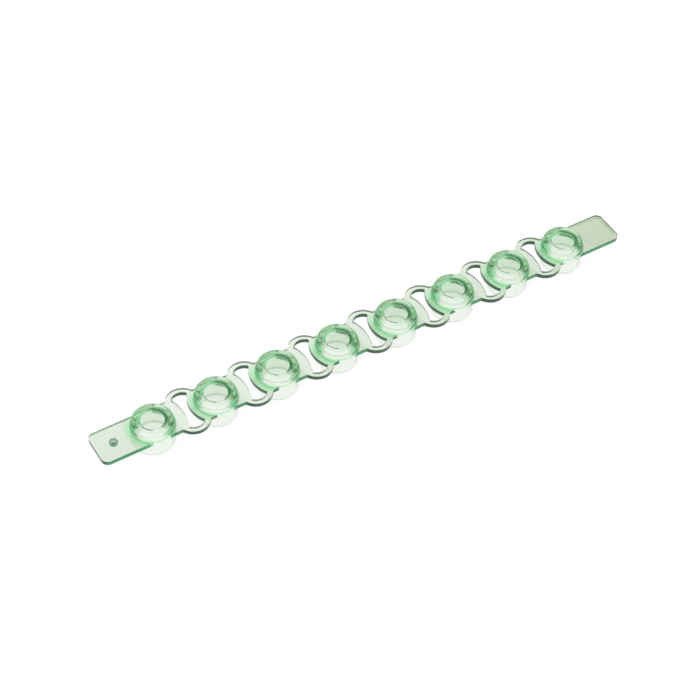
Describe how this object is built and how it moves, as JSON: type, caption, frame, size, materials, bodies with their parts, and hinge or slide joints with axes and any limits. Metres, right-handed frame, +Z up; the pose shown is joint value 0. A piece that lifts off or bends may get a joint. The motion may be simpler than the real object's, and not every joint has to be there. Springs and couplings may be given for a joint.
{
  "type": "pcr tube cap strip",
  "caption": "Strip of press-in plug caps with flat clear windows, joined by a thin carrier plate with bowed flexible arms and an end tab on each side.",
  "frame": {"origin": "middle of the strip, in the plane of the open plug ends that it stands on", "axes": "+X along the strip towards the tab with the marking panel, +Z up through the caps' windows"},
  "size_m": [0.079, 0.0074, 0.0039],
  "materials": {
    "green_plastic": "clear tinted, gloss"
  },
  "bodies": {
    "root": {"cap_strip": "green_plastic"}
  },
  "joints": []
}
